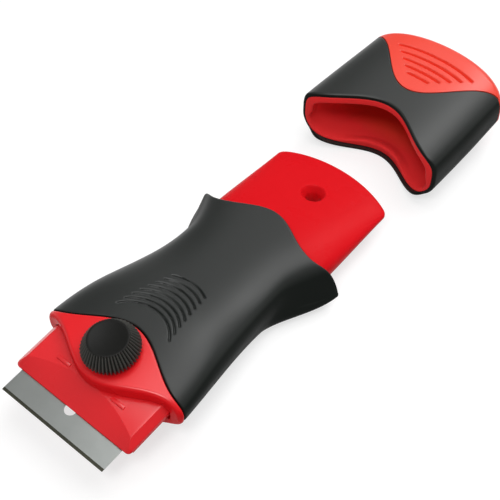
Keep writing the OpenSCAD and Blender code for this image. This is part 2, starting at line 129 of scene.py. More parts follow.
def soft_box(name, heading, distance, width, height, watts):
    """A soft box that faces the tool from a heading, at a distance in metres."""
    lamp = bpy.data.lights.new(name, "AREA")
    lamp.shape = "RECTANGLE"
    lamp.size = width
    lamp.size_y = height
    lamp.energy = watts
    box = bpy.data.objects.new(name, lamp)
    scene.collection.objects.link(box)
    way = Vector(heading).normalized()
    box.location = camera_target + way * distance
    box.rotation_euler = (-way).to_track_quat("-Z", "Y").to_euler()


soft_box("over_soft_box", heading=(0.35, -0.11, 0.93), distance=0.63, width=0.56, height=0.66, watts=2.9)
soft_box("back_soft_box", heading=(0.715, 0.12, 0.689), distance=0.87, width=0.24, height=0.3, watts=0.8)
soft_box("front_soft_box", heading=(-0.45, -0.16, 0.88), distance=0.8, width=0.2, height=0.2, watts=1.85)


# Red handle core: one hard moulding that is the collar at the blade end, a hidden spine under the grip
# and the bare tail with its hang hole. The collar is hollowed for the two jaws.
screw_x = 40.0
tail_x = 63.8
blade_l = 39.0
jaw_over = 2.5
jaw_w = blade_l + 2 * jaw_over
collar_side = 4.0
collar_w = jaw_w + 2 * collar_side
grip_w = 56.5
waist_w = 39.5
waist_x = 3.5
waist_lean = 11.5
grip_rear_x = 29.5
tail_w = 44.0
grip_t = 1.6
collar_z = 22.2
dip_z = 18.8
rear_z = 19.6
floor_t = 2.2
tail_root_z = 15.4
tail_end_z = 11.2
nose_lean = math.radians(6)
run_gap = 0.05
bond_gap = 0.1
slide_gap = 0.2

upper_jaw_t = 3.2
roof_t = 4.0
blade_t = 0.25
jaw_drop = 1.0
nut_t = 4.0
hub_wall = 1.4
hub_t = nut_t + hub_wall
tongue_r = 9.8
blade_top_w = -roof_t - upper_jaw_t
blade_under_w = blade_top_w - blade_t - run_gap
hub_under_w = blade_under_w - hub_t
pocket_floor_w = hub_under_w - jaw_drop - slide_gap
nose = Matrix.Translation((-screw_x, 0.0, collar_z)) @ Matrix.Rotation(-nose_lean, 4, "Y")


def ease(u):
    u = np.clip(u, 0.0, 1.0)
    return u * u * (3 - 2 * u)


def eased(rows, x):
    """A value eased smoothly through rows of (position, value)."""
    value = np.full_like(x, rows[0][1])
    for (x0, v0), (x1, v1) in zip(rows, rows[1:]):
        value = np.where(x >= x0, v0 + (v1 - v0) * ease((x - x0) / (x1 - x0)), value)
    return value


def bell(y, half):
    """1 at the middle, falling to 0 at that half width and beyond."""
    return np.where(np.abs(y) >= half, 0.0, (1 + np.cos(np.pi * y / half)) / 2)


def section(half_w, mid, top, bottom, n_up, n_low, t):
    """Y and Z round a section whose upper and lower half each have their own squareness."""
    across, up = np.cos(t), np.sin(t)
    n = np.where(up >= 0, n_up, n_low)
    k = (np.abs(across) ** n + np.abs(up) ** n) ** (-1 / n)
    return half_w * k * across, mid + np.where(up >= 0, top - mid, mid - bottom) * k * up


collar_wide_x = -screw_x - 6.0
collar_front_x = -screw_x - tongue_r
crest_x = -screw_x + 13.0
shoulder_x = -screw_x + 20.0
chin_end_x = -screw_x + 34.0
crest_blend = 5.0
chin_z = collar_z + pocket_floor_w * math.cos(nose_lean) - tongue_r * math.sin(nose_lean) - floor_t
belly = 0.7
collar_mid_z = 13.4
waist_mid_z = 8.2
rear_mid_z = 6.2
collar_square = 3.2
waist_square = 3.6
rear_square = 5.0
chin_square = 2.0
belly_square = 2.4


def out_half_w(x):
    return eased([(collar_wide_x, collar_w / 2), (waist_x, waist_w / 2), (grip_rear_x, grip_w / 2)], x)


def ridge_line(x):
    """Height of the top along the middle, straight over the collar and eased through the thumb dip."""
    nose_line = collar_z + (x + screw_x) * math.tan(nose_lean)
    crest = collar_z + (crest_x + screw_x) * math.tan(nose_lean)
    thumb_dip = eased([(crest_x, crest), (waist_x, dip_z), (grip_rear_x, rear_z)], x)
    return np.where(x < crest_x, nose_line, thumb_dip)


def out_top(x):
    """The ridge line with its crest rounded off."""
    return np.mean([ridge_line(x + crest_blend * share) for share in np.linspace(-1, 1, 9)], axis=0)


def outside(x, t, inset=0.0):
    """Points on the outside of the collar and grip."""
    mid = eased([(-screw_x, collar_mid_z), (waist_x, waist_mid_z), (grip_rear_x, rear_mid_z)], x)
    bottom = eased([(collar_front_x, chin_z), (chin_end_x, -belly), (grip_rear_x, -belly)], x)
    n_top = eased([(shoulder_x, collar_square), (waist_x, waist_square), (grip_rear_x, rear_square)], x)
    n_low = eased([(collar_wide_x, chin_square), (waist_x, belly_square)], x)
    half_w = out_half_w(x - waist_lean * np.sin(t))
    y, z = section(half_w - inset, mid, out_top(x) - inset, bottom + inset, n_top, n_low, t)
    return np.stack([x, y, z], axis=1)


tail_root_x = grip_rear_x - 8.0
tail_under_z = 4.0
tail_lift = 2.2
tail_taper = 0.4
tail_root_mid_z = 8.0
tail_end_mid_z = 9.0
spine_square = 2.8
tail_square = 3.0


def core(x, t, inset=0.0):
    """Points on the core under the grip and on the bare tail."""
    leant = x - waist_lean * np.sin(t)
    half_w = np.where(leant < waist_x, out_half_w(leant) - grip_t,
                      eased([(waist_x, waist_w / 2 - grip_t), (tail_root_x, tail_w / 2 + tail_taper),
                             (tail_x, tail_w / 2 - tail_taper)], leant))
    mid = eased([(-screw_x, collar_mid_z), (waist_x, waist_mid_z), (tail_root_x, tail_root_mid_z),
                 (tail_x, tail_end_mid_z)], x)
    top = np.where(x < waist_x, out_top(x) - grip_t,
                   eased([(waist_x, dip_z - grip_t), (tail_root_x, tail_root_z), (tail_x, tail_end_z)], x))
    bottom = eased([(collar_front_x, chin_z + grip_t), (chin_end_x, grip_t - belly),
                    (waist_x, grip_t - belly), (tail_root_x, tail_under_z),
                    (tail_x, tail_under_z + tail_lift)], x)
    n_up = eased([(waist_x, spine_square), (tail_root_x, tail_square)], x)
    y, z = section(half_w - inset, mid, top - inset, bottom + inset, n_up, belly_square, t)
    return np.stack([x, y, z], axis=1)


bell_half = collar_w / 2 - 1.75
tongue_len = 8.6
corner_x = collar_front_x + tongue_len
valley_y = grip_w / 3
valley_d = 6.5
horn_d = 3.0
tail_r = 46.0
groove_w = 0.35
band_side_w = 1.6
band_reach = 8.9


def collar_front(y):
    return corner_x - tongue_len * bell(y, bell_half)


def band_rear(y):
    return corner_x + band_side_w + band_reach * bell(y, bell_half)


def grip_rear(y):
    horn = ease((np.abs(y) - valley_y) / (grip_w / 2 - valley_y))
    return grip_rear_x - valley_d + valley_d * bell(y, valley_y) + horn_d * horn


def tail_end(y):
    return tail_x - tail_r + np.sqrt(tail_r ** 2 - y ** 2)


def moved(edge, by):
    """An edge curve moved along the tool."""
    return lambda y: edge(y) + by


def shrunk(form, inset):
    """A form moved inwards all round."""
    return lambda x, t, more=0.0: form(x, t, inset + more)


def around(form, x, count, middle=0.0, closer=1.0, samples=2001):
    """Angles round a section at x, at even steps along its outline and closer over the middle of its top."""
    angles = []
    for start in (0.0, math.pi):
        t = np.linspace(start, start + math.pi, samples)
        points = form(np.full_like(t, x), t)
        step = np.linalg.norm(np.diff(points, axis=0), axis=1)
        if start == 0.0:
            step = np.where(np.abs(points[1:, 1]) < middle, closer * step, step)
        way = np.concatenate([[0.0], np.cumsum(step)])
        share = (np.arange(count // 2) + 0.5) / (count // 2)
        angles.append(np.interp(share * way[-1], way, t))
    return np.concatenate(angles)


def meet(form, edge, t, tries=6):
    """The ring where a form meets an edge curve."""
    x = edge(np.zeros_like(t))
    for _ in range(tries):
        x = edge(form(x, t)[:, 1])
    return form(x, t)


def rings_between(form, first, last, shares, t):
    """Rings at those shares of the way from one edge curve to another."""
    start, stop = meet(form, first, t)[:, 0], meet(form, last, t)[:, 0]
    return [form(start + (stop - start) * share, t) for share in shares]


def quarter_round(r, steps):
    """Inset and advance of the steps round an edge of that radius."""
    return [(r * (1 - math.cos(a)), r * math.sin(a)) for a in np.linspace(0.0, math.pi / 2, steps + 1)]


def rounded_end(form, edge, r, t, steps, way=1):
    """Rings that round a form's end inwards by that radius; way is -1 at a front end."""
    return [meet(shrunk(form, inset), moved(edge, way * (out - r)), t)
            for inset, out in quarter_round(r, steps)[1:]]


def shade(mesh, degrees=32):
    """Smooth faces, with the edges that turn more than this kept sharp."""
    work = bmesh.new()
    work.from_mesh(mesh)
    for face in work.faces:
        face.smooth = True
    for edge in work.edges:
        edge.smooth = len(edge.link_faces) == 2 and edge.calc_face_angle() < math.radians(degrees)
    work.to_mesh(mesh)
    work.free()


def new_piece(name, points, faces):
    """An object made from points in millimetres, with its faces turned outwards."""
    mesh = bpy.data.meshes.new(name)
    mesh.from_pydata((np.asarray(points) * MM).tolist(), [], faces)
    work = bmesh.new()
    work.from_mesh(mesh)
    bmesh.ops.recalc_face_normals(work, faces=work.faces)
    work.to_mesh(mesh)
    work.free()
    piece = bpy.data.objects.new(name, mesh)
    scene.collection.objects.link(piece)
    return piece


def loft(name, rings, looped=False):
    """A piece joined from rings of equal count, closed across both ends or looped into a sleeve."""
    count = len(rings[0])
    last = len(rings) - 1
    faces = []
    for i in range(last + 1 if looped else last):
        here, there = i * count, (i + 1) % len(rings) * count
        faces += [(here + j, here + (j + 1) % count, there + (j + 1) % count, there + j)
                  for j in range(count)]
    if not looped:
        for base in (0, last * count):
            faces += [(base + j, base + j + 1, base + count - 2 - j, base + count - 1 - j)
                      for j in range(count // 2 - 1)]
    return new_piece(name, np.concatenate(rings), faces)


def prism(name, outline, low, high, place):
    """A piece extruded along its own Z between two heights, then placed by a matrix in millimetres."""
    count = len(outline)
    points = [place @ Vector((a, b, c)) for c in (low, high) for a, b in outline]
    faces = [tuple(range(count)), tuple(range(count, 2 * count))]
    faces += [(j, (j + 1) % count, count + (j + 1) % count, count + j) for j in range(count)]
    return new_piece(name, points, faces)


def circle(r, count=96):
    turns = [2 * math.pi * i / count for i in range(count)]
    return [(r * math.cos(turn), r * math.sin(turn)) for turn in turns]


def settle(piece):
    """Turns a piece's modifiers into its plain mesh."""
    shape = bpy.data.meshes.new_from_object(piece.evaluated_get(bpy.context.evaluated_depsgraph_get()))
    piece.modifiers.clear()
    old = piece.data
    piece.data = shape
    bpy.data.meshes.remove(old)


def carve(piece, *cutters):
    """Cuts other pieces out of a piece and removes them."""
    for cutter in cutters:
        cut = piece.modifiers.new("cut", "BOOLEAN")
        cut.operation = "DIFFERENCE"
        cut.solver = "EXACT"
        cut.object = cutter
    settle(piece)
    for cutter in cutters:
        shape = cutter.data
        bpy.data.objects.remove(cutter)
        bpy.data.meshes.remove(shape)


def sockets(tree, side, kind, *names):
    """Gives a node tree sockets of one kind on its input or output side."""
    for name in names:
        tree.interface.new_socket(name, in_out=side, socket_type="NodeSocket" + kind)


def mixed(tree, share, first, second):
    """The output of a node that goes from one colour to another with a share."""
    return add_node(tree, "ShaderNodeMix", {0: share, 6: first, 7: second}, data_type="RGBA").outputs[2]


moulded_skin = bpy.data.node_groups.new("moulded_skin", "ShaderNodeTree")
sockets(moulded_skin, "INPUT", "Color", "Colour", "Worn and highlit colour")
sockets(moulded_skin, "INPUT", "Float", "Wear", "Roughness", "Marks", "Grain size", "Grain depth", "Polish")
sockets(moulded_skin, "OUTPUT", "Color", "Colour")
sockets(moulded_skin, "OUTPUT", "Float", "Roughness", "Coat")
sockets(moulded_skin, "OUTPUT", "Vector", "Normal")
skin_in = moulded_skin.nodes.new("NodeGroupInput")
skin_place = add_node(moulded_skin, "ShaderNodeTexCoord").outputs["Object"]
skin_grain_scale = calc(moulded_skin, "DIVIDE", 1.0, skin_in.outputs["Grain size"])
skin_grain = add_node(moulded_skin, "ShaderNodeTexNoise",
                      {"Vector": skin_place, "Scale": skin_grain_scale, "Detail": 3.0, "Roughness": 0.6})
skin_marks = add_node(moulded_skin, "ShaderNodeTexNoise",
                      {"Vector": skin_place, "Scale": 70.0, "Detail": 5.0, "Roughness": 0.62})
skin_mark_level = add_node(moulded_skin, "ShaderNodeMapRange",
                           {"Value": skin_marks.outputs[0], "From Min": 0.3, "From Max": 0.7,
                            "To Min": -1.0, "To Max": 1.0})
skin_rough = calc(moulded_skin, "MULTIPLY_ADD", skin_mark_level.outputs["Result"], skin_in.outputs["Marks"],
                  skin_in.outputs["Roughness"])
# Convex edges go towards a lighter colour: partly rubbed wear, partly a painted highlight along the edges.
skin_edges = add_node(moulded_skin, "ShaderNodeMapRange",
                      {"Value": add_node(moulded_skin, "ShaderNodeNewGeometry").outputs["Pointiness"],
                       "From Min": 0.51, "From Max": 0.6, "To Min": 0.0, "To Max": 1.0})
skin_worn_and_highlit = calc(moulded_skin, "MULTIPLY", skin_edges.outputs["Result"], skin_in.outputs["Wear"])
skin_colour = mixed(moulded_skin, skin_worn_and_highlit, skin_in.outputs["Colour"], skin_in.outputs["Worn and highlit colour"])
skin_bump = add_node(moulded_skin, "ShaderNodeBump",
                     {"Strength": skin_in.outputs["Grain depth"], "Distance": 0.06 * MM,
                      "Height": skin_grain.outputs[0]})
skin_way = add_node(moulded_skin, "ShaderNodeSeparateXYZ",
                    {0: add_node(moulded_skin, "ShaderNodeNewGeometry").outputs["Normal"]})
skin_handled = add_node(moulded_skin, "ShaderNodeMapRange",
                        {"Value": skin_way.outputs["Z"], "From Min": 0.45, "From Max": 0.85,
                         "To Min": 0.0, "To Max": skin_in.outputs["Polish"]}, interpolation_type="SMOOTHSTEP")
add_node(moulded_skin, "NodeGroupOutput",
         {"Colour": skin_colour, "Roughness": skin_rough, "Normal": skin_bump.outputs["Normal"],
          "Coat": skin_handled.outputs["Result"]})


def moulded(name, colour, worn_and_highlit, wear, roughness, marks, grain, depth, gloss, polish):
    """A moulded finish: grain size in millimetres, gloss all over, polish on the faces that lie up."""
    finish = bpy.data.materials.new(name)
    finish.use_nodes = True
    tree = finish.node_tree
    skin = add_node(tree, "ShaderNodeGroup",
                    {"Colour": colour, "Worn and highlit colour": worn_and_highlit, "Wear": wear, "Roughness": roughness,
                     "Marks": marks, "Grain size": grain * MM, "Grain depth": depth, "Polish": polish},
                    node_tree=moulded_skin, name="skin")
    shader = tree.nodes["Principled BSDF"]
    tree.links.new(skin.outputs["Colour"], shader.inputs["Base Color"])
    tree.links.new(skin.outputs["Roughness"], shader.inputs["Roughness"])
    tree.links.new(skin.outputs["Normal"], shader.inputs["Normal"])
    tree.links.new(skin.outputs["Coat"], shader.inputs["Coat Weight"])
    shader.inputs["Coat Roughness"].default_value = roughness
    shader.inputs["Specular IOR Level"].default_value = gloss
    finish.diffuse_color = colour
    return finish


def polish_along(finish, start, stop, first, last):
    """Scales a finish's polish between two places along X, in millimetres, and returns the share."""
    tree = finish.node_tree
    skin = tree.nodes["skin"]
    place = add_node(tree, "ShaderNodeSeparateXYZ",
                     {0: add_node(tree, "ShaderNodeTexCoord").outputs["Object"]})
    share = add_node(tree, "ShaderNodeMapRange",
                     {"Value": place.outputs["X"], "From Min": start * MM, "From Max": stop * MM,
                      "To Min": first, "To Max": last})
    polish = calc(tree, "MULTIPLY", skin.outputs["Coat"], share.outputs["Result"])
    tree.links.new(polish, tree.nodes["Principled BSDF"].inputs["Coat Weight"])
    return share.outputs["Result"]


def tint(finish, share, first, second):
    """Lets a finish go from one colour to another with a share."""
    tree = finish.node_tree
    tree.links.new(mixed(tree, share, first, second), tree.nodes["skin"].inputs["Colour"])


def dress(piece, finish, body, slot, *nodes):
    """Gives a finished piece its material and the body it rides on, and hides the solids it stands for; slot
    is not used.
    """
    piece.data.materials.clear()
    piece.data.materials.append(finish)
    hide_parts(*nodes)
    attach(piece, body)


# The collar is painted a lighter red than the tail: painted light for the stronger light that falls on the
# collar. The same share along X fades the polish out towards the tail.
tail_colour = paint(216, 21, 29)
collar_painted_light_colour = paint(230, 25, 32)
handle_red = moulded("handle_red", tail_colour, worn_and_highlit=paint(226, 52, 54), wear=0.2, roughness=0.29,
                     marks=0.05, grain=0.35, depth=0.12, gloss=0.04, polish=1.0)
collar_share = polish_along(handle_red, start=-20.0, stop=10.0, first=1.0, last=0.0)
tint(handle_red, collar_share, tail_colour, collar_painted_light_colour)

lip_r = 1.3
tail_lip_r = 1.6
band_lip_r = 0.3
hang_x = tail_x - 15.6
hang_r = 2.5
dish_r = 4.1
dish_depth = 2.4
dish_limit = 1.1
dish_curve = 1.3
core_t = around(core, hang_x, count=320, middle=5.5, closer=3.4)
core_rings = rounded_end(outside, collar_front, lip_r, core_t, steps=10, way=-1)[::-1]
core_rings += rings_between(outside, moved(collar_front, lip_r), moved(band_rear, -band_lip_r),
                            np.linspace(0, 1, 27), core_t)
core_rings += rounded_end(outside, band_rear, band_lip_r, core_t, steps=3)
core_rings += rings_between(core, band_rear, grip_rear, np.linspace(0, 1, 16), core_t)
core_rings += rings_between(core, grip_rear, moved(tail_end, -tail_lip_r), np.linspace(0, 1, 150)[1:], core_t)
core_rings += rounded_end(core, tail_end, tail_lip_r, core_t, steps=8)
for ring in core_rings:
    from_hole = np.hypot(ring[:, 0] - hang_x, ring[:, 1])
    sink = np.clip((dish_r - from_hole) / (dish_r - hang_r), 0.0, dish_limit) ** dish_curve
    ring[:, 2] -= np.where(np.sin(core_t) > 0, dish_depth * sink, 0.0)
handle_core = loft("handle_core_red", core_rings)

jaw_reach = 8.0
jaw_front_u = -(tongue_r + jaw_reach)
jaw_back_u = 9.5
jaw_side_t = 0.7
jaw_draft = 2.0
plate_t = 1.6
screw_d = 5.0
cut_over = 1.0
hub_inset = 6.75
hub_half_w = jaw_w / 2 - hub_inset
slot_half = jaw_w / 2 + slide_gap
slot_floor_w = blade_under_w - plate_t - jaw_drop - slide_gap
shoulder_w = blade_top_w + jaw_side_t + slide_gap
along_u = nose @ Matrix(((0, 0, 1, 0), (1, 0, 0, 0), (0, 1, 0, 0), (0, 0, 0, 1)))
carve(handle_core,
      prism("jaw_slot", [(-slot_half, slot_floor_w), (slot_half, slot_floor_w), (slot_half, shoulder_w),
                         (slot_half - jaw_draft, -roof_t), (-slot_half + jaw_draft, -roof_t),
                         (-slot_half, shoulder_w)], 2 * jaw_front_u, jaw_back_u, along_u),
      prism("hub_slot", [(-hub_half_w - slide_gap, pocket_floor_w), (hub_half_w + slide_gap, pocket_floor_w),
                         (hub_half_w + slide_gap, blade_under_w), (-hub_half_w - slide_gap, blade_under_w)],
            2 * jaw_front_u, jaw_back_u, along_u),
      prism("screw_bore", circle(screw_d / 2 + run_gap), -roof_t - cut_over, 2 * cut_over, nose),
      prism("hang_bore", circle(hang_r), -cut_over, collar_z, Matrix.Translation((hang_x, 0.0, 0.0))))
shade(handle_core.data)
dress(handle_core, handle_red, "handle", "handle_red", "handle_core")


# Soft grip: black rubbery plastic moulded round the core, flat underneath so that the tool can lie down.
# Eight arc grooves are pressed into the thumb dip on top.
grip_soft = moulded("grip_soft", paint(28, 31, 29), worn_and_highlit=paint(58, 62, 60), wear=0.2, roughness=0.42,
                    marks=0.05, grain=0.32, depth=0.35, gloss=0.02, polish=1.0)


def lay_flat(rings):
    """Flattens rings where they would go below the table."""
    for ring in rings:
        ring[:, 2] = np.maximum(ring[:, 2], 0.0)


edge_r = 0.5
thumb_share = 0.42
around_grip = around(outside, shoulder_x, count=420, middle=11.5, closer=2.4)
grip_front = moved(band_rear, groove_w)
grip_shares = np.concatenate([np.linspace(0, thumb_share, 122), np.linspace(thumb_share, 1, 58)[1:]])
grip_rings = rounded_end(outside, grip_front, edge_r, around_grip, steps=4, way=-1)[::-1]
grip_rings += rings_between(outside, moved(grip_front, edge_r), moved(grip_rear, -edge_r), grip_shares,
                            around_grip)
grip_rings += rounded_end(outside, grip_rear, edge_r, around_grip, steps=4)
grip_rings += rings_between(shrunk(core, -bond_gap), grip_front, grip_rear, np.linspace(1, 0, 9), around_grip)
lay_flat(grip_rings)
grip_sleeve = loft("grip_sleeve_soft", grip_rings, looped=True)

arc_grooves = bpy.data.node_groups.new("arc_grooves", "GeometryNodeTree")
sockets(arc_grooves, "INPUT", "Geometry", "Geometry")
sockets(arc_grooves, "INPUT", "Int", "Count")
sockets(arc_grooves, "INPUT", "Float", "First end", "Step", "First half length", "Last half length",
        "Arc radius", "Half width", "Depth", "Above")
sockets(arc_grooves, "INPUT", "Material", "Material")
sockets(arc_grooves, "OUTPUT", "Geometry", "Geometry")
arc_in = arc_grooves.nodes.new("NodeGroupInput")
arc_start = arc_grooves.nodes.new("GeometryNodeRepeatInput")
arc_stop = arc_grooves.nodes.new("GeometryNodeRepeatOutput")
arc_start.pair_with_output(arc_stop)
arc_grooves.links.new(arc_in.outputs["Count"], arc_start.inputs["Iterations"])
arc_turn = arc_start.outputs["Iteration"]
arc_share = calc(arc_grooves, "DIVIDE", arc_turn, calc(arc_grooves, "SUBTRACT", arc_in.outputs["Count"], 1.0))
arc_change = calc(arc_grooves, "SUBTRACT", arc_in.outputs["Last half length"],
                  arc_in.outputs["First half length"])
arc_half_len = calc(arc_grooves, "ADD", arc_in.outputs["First half length"],
                    calc(arc_grooves, "MULTIPLY", arc_change, arc_share))
arc_half = calc(arc_grooves, "ARCSINE",
                calc(arc_grooves, "DIVIDE", arc_half_len, arc_in.outputs["Arc radius"]))
arc_end_x = calc(arc_grooves, "ADD", arc_in.outputs["First end"],
                 calc(arc_grooves, "MULTIPLY", arc_in.outputs["Step"], arc_turn))
arc_centre = calc(arc_grooves, "SUBTRACT", arc_end_x,
                  calc(arc_grooves, "MULTIPLY", arc_in.outputs["Arc radius"],
                       calc(arc_grooves, "COSINE", arc_half)))
arc_curve = add_node(arc_grooves, "GeometryNodeCurveArc",
                     {"Resolution": 64, "Radius": arc_in.outputs["Arc radius"],
                      "Start Angle": calc(arc_grooves, "MULTIPLY", arc_half, -1.0),
                      "Sweep Angle": calc(arc_grooves, "MULTIPLY", arc_half, 2.0)}, mode="RADIUS")
arc_shift = add_node(arc_grooves, "ShaderNodeCombineXYZ", {"X": arc_centre})
arc_placed = add_node(arc_grooves, "GeometryNodeTransform",
                      {"Geometry": arc_curve.outputs["Curve"], "Translation": arc_shift.outputs[0]})
arc_joined = add_node(arc_grooves, "GeometryNodeJoinGeometry", {"Geometry": arc_placed.outputs[0]})
arc_grooves.links.new(arc_start.outputs["Geometry"], arc_joined.inputs["Geometry"])
arc_grooves.links.new(arc_joined.outputs[0], arc_stop.inputs["Geometry"])
arc_lines = add_node(arc_grooves, "GeometryNodeCurveToMesh", {"Curve": arc_stop.outputs["Geometry"]})
arc_place = add_node(arc_grooves, "ShaderNodeSeparateXYZ",
                     {0: add_node(arc_grooves, "GeometryNodeInputPosition").outputs[0]})
arc_flat = add_node(arc_grooves, "ShaderNodeCombineXYZ",
                    {"X": arc_place.outputs["X"], "Y": arc_place.outputs["Y"]})
arc_near = add_node(arc_grooves, "GeometryNodeProximity",
                    {"Geometry": arc_lines.outputs[0], "Sample Position": arc_flat.outputs[0]},
                    target_element="EDGES")
arc_press = add_node(arc_grooves, "ShaderNodeMapRange",
                     {"Value": arc_near.outputs["Distance"], "From Min": 0.0,
                      "From Max": arc_in.outputs["Half width"],
                      "To Min": calc(arc_grooves, "MULTIPLY", arc_in.outputs["Depth"], -1.0), "To Max": 0.0},
                     interpolation_type="SMOOTHSTEP")
arc_on_top = add_node(arc_grooves, "FunctionNodeCompare",
                      {0: arc_place.outputs["Z"], 1: arc_in.outputs["Above"]},
                      data_type="FLOAT", operation="GREATER_THAN")
arc_pressed = add_node(arc_grooves, "GeometryNodeSetPosition",
                       {"Geometry": arc_in.outputs["Geometry"], "Selection": arc_on_top.outputs[0],
                        "Offset": add_node(arc_grooves, "ShaderNodeCombineXYZ",
                                           {"Z": arc_press.outputs["Result"]}).outputs[0]})
arc_real = add_node(arc_grooves, "GeometryNodeRealizeInstances", {"Geometry": arc_pressed.outputs[0]})
arc_painted = add_node(arc_grooves, "GeometryNodeSetMaterial",
                       {"Geometry": arc_real.outputs[0], "Material": arc_in.outputs["Material"]})
add_node(arc_grooves, "NodeGroupOutput", {"Geometry": arc_painted.outputs[0]})


def grow(piece, tree, **sizes):
    """Runs a Geometry Nodes tree on a piece with its named inputs, and keeps the result as a plain mesh."""
    rule = piece.modifiers.new(tree.name, "NODES")
    rule.node_group = tree
    for item in tree.interface.items_tree:
        key = item.name.lower().replace(" ", "_")
        if item.in_out == "INPUT" and key in sizes:
            rule[item.identifier] = sizes[key]
    settle(piece)


grow(grip_sleeve, arc_grooves, count=8, first_end=(-screw_x + 12.0) * MM, step=2.65 * MM,
     first_half_length=9.9 * MM, last_half_length=6.2 * MM, arc_radius=12.0 * MM, half_width=0.5 * MM,
     depth=0.5 * MM, above=14.0 * MM, material=grip_soft)
shade(grip_sleeve.data, degrees=50)
dress(grip_sleeve, grip_soft, "handle", "grip_soft", "grip_sleeve")


# Upper jaw: a wedge of hard red plastic fixed in the collar over the blade. It is crowned on top, with a
# curved bevel down to the blade, drafted sides and two short ridges.
jaw_red = moulded("jaw_red", paint(226, 25, 33), worn_and_highlit=paint(236, 64, 64), wear=0.2, roughness=0.26,
                  marks=0.05, grain=0.35, depth=0.1, gloss=0.08, polish=1.0)
jaw_red.node_tree.nodes["Principled BSDF"].inputs["Coat IOR"].default_value = 1.65

jaw_nose_t = 0.5
jaw_crown = 0.4
bevel_mid = 8.0
bevel_side = 3.4
bevel_corner = 0.4
jaw_flat = jaw_w / 2 - jaw_draft
corner_r = 1.3
jaw_edge_r = 0.3
ridge_l = 5.0
ridge_r = 0.6
ridge_root = 0.4
ridge_h = 0.42
ridge_y = jaw_w / 4 - ridge_r
ridge_u = -9.4
on_blade = nose @ Matrix.Translation((0.0, 0.0, blade_top_w))


def jaw_top(v):
    return upper_jaw_t - run_gap - jaw_crown * (v / (jaw_w / 2)) ** 2


def jaw_profile(v):
    """Five corners of the jaw's profile at a place across it, set back at its rounded front corners."""
    out = max(abs(v) - jaw_flat, 0.0) / jaw_draft
    top = jaw_top(v) + (jaw_side_t - jaw_top(v)) * out
    run = bevel_mid + (bevel_side - bevel_mid) * (v / jaw_flat) ** 2
    run += (bevel_corner - run) * out
    into = min(max(abs(v) - (jaw_w / 2 - corner_r), 0.0), corner_r)
    front = jaw_front_u + corner_r - math.sqrt(corner_r ** 2 - into ** 2)
    back = jaw_back_u - slide_gap
    corners = ((front, 0.0), (back, 0.0), (back, top), (front + run, top), (front, min(jaw_nose_t, top)))
    return [on_blade @ Vector((u, v, w)) for u, w in corners]


def round_edges(piece, width, segments=3, degrees=12):
    """Rounds a piece's corners by a width in millimetres."""
    bevel = piece.modifiers.new("round", "BEVEL")
    bevel.width = width * MM
    bevel.segments = segments
    bevel.limit_method = "ANGLE"
    bevel.angle_limit = math.radians(degrees)
    settle(piece)


draft_curve = 1.5
jaw_places = jaw_w / 2 - jaw_draft * np.linspace(0, 1, 13) ** draft_curve
jaw_rows = [jaw_profile(v) for v in np.concatenate([-jaw_places, np.linspace(-jaw_flat, jaw_flat, 49)[1:-1],
                                                    jaw_places[::-1]])]
row_l = len(jaw_rows[0])
jaw_end = row_l * (len(jaw_rows) - 1)
jaw_faces = [tuple(range(row_l)), tuple(range(jaw_end, jaw_end + row_l))]
for here in range(0, jaw_end, row_l):
    there = here + row_l
    jaw_faces += [(here + j, here + (j + 1) % row_l, there + (j + 1) % row_l, there + j)
                  for j in range(row_l)]
upper_jaw = new_piece("upper_jaw_red", [p for row in jaw_rows for p in row], jaw_faces)
round_edges(upper_jaw, jaw_edge_r)
carve(upper_jaw, prism("jaw_bore", circle(screw_d / 2 + slide_gap), -cut_over, upper_jaw_t + cut_over,
                       on_blade))
for side in (-1, 1):
    ridge_place = on_blade @ Matrix.Translation((ridge_u, side * ridge_y, jaw_top(ridge_y)))
    bar = prism("ridge", [(-ridge_r, -ridge_l / 2), (ridge_r, -ridge_l / 2), (ridge_r, ridge_l / 2),
                          (-ridge_r, ridge_l / 2)], -ridge_root, ridge_h, ridge_place)
    round_edges(bar, jaw_edge_r)
    union = upper_jaw.modifiers.new("ridge", "BOOLEAN")
    union.operation = "UNION"
    union.solver = "EXACT"
    union.object = bar
    settle(upper_jaw)
    bpy.data.objects.remove(bar)
shade(upper_jaw.data, degrees=25)
dress(upper_jaw, jaw_red, "handle", "jaw_red", "upper_jaw")


# Lower jaw: a plate of hard red plastic that presses the blade up against the upper jaw, with a hub
# underneath that holds the nut. It is the moulded solid with its corners rounded.
def rounded_copy(node, name, width, weld=0.002):
    """A copy of a solid with its triangles merged and its corners rounded."""
    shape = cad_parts[node].data.copy()
    work = bmesh.new()
    work.from_mesh(shape)
    bmesh.ops.remove_doubles(work, verts=work.verts, dist=weld * MM)
    bmesh.ops.dissolve_limit(work, angle_limit=math.radians(1), verts=work.verts, edges=work.edges)
    work.to_mesh(shape)
    work.free()
    piece = bpy.data.objects.new(name, shape)
    scene.collection.objects.link(piece)
    round_edges(piece, width, segments=2, degrees=30)
    shade(piece.data)
    return piece


lower_jaw = rounded_copy("lower_jaw", "lower_jaw_red", width=0.15)
dress(lower_jaw, jaw_red, "lower_jaw", "jaw_red", "lower_jaw")


